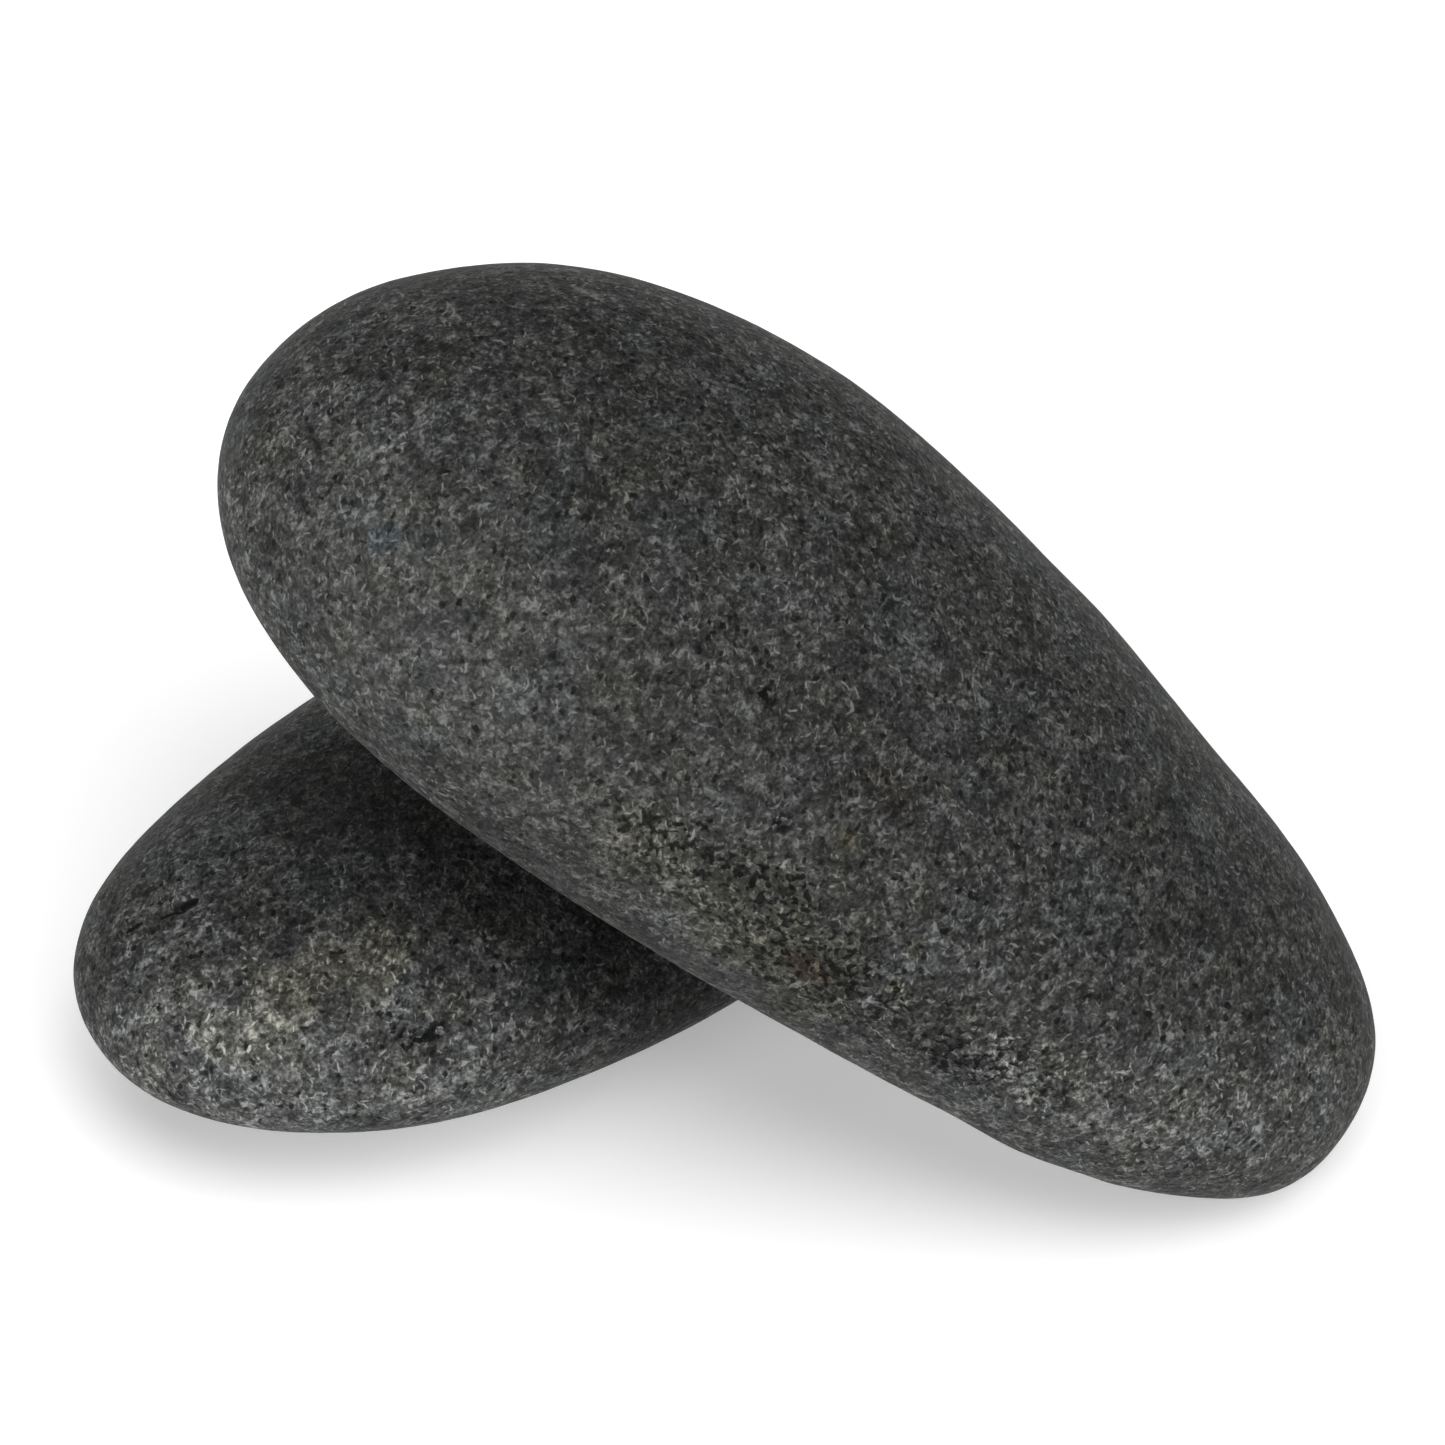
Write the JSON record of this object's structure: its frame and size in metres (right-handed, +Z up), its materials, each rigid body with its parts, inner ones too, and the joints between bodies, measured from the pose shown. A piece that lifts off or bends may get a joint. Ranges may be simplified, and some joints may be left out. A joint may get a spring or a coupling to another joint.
{
  "type": "basalt massage stones",
  "caption": "Pair of smooth dark basalt massage stones: a flattened egg-shaped stone with a longer teardrop stone leaning across it.",
  "frame": {"origin": "middle of the lower stone's worn rest face, on the surface that the pair lies on", "axes": "+Z up from the surface; the upper stone's broad end is towards -X and its tip towards +X and -Y; the lower stone's narrow end is towards -X and -Y"},
  "size_m": [0.1298, 0.0873, 0.0798],
  "materials": {
    "basalt_lower": "tumbled and oiled-looking dark grey basalt, fine crystal flecks, a small slit crack, pits and pale warm patches",
    "basalt_upper": "tumbled dark grey basalt, fine pale needle flecks, one rough pitted patch on its flank, satin"
  },
  "bodies": {
    "lower_stone": {"lower_stone": "basalt_lower"},
    "upper_stone": {"upper_stone": "basalt_upper"}
  },
  "joints": [
    {"name": "upper_stone_lift", "type": "slide", "parent": "lower_stone", "child": "upper_stone", "axis": [0, 0, 1], "range_m": [0, 0.06]}
  ]
}
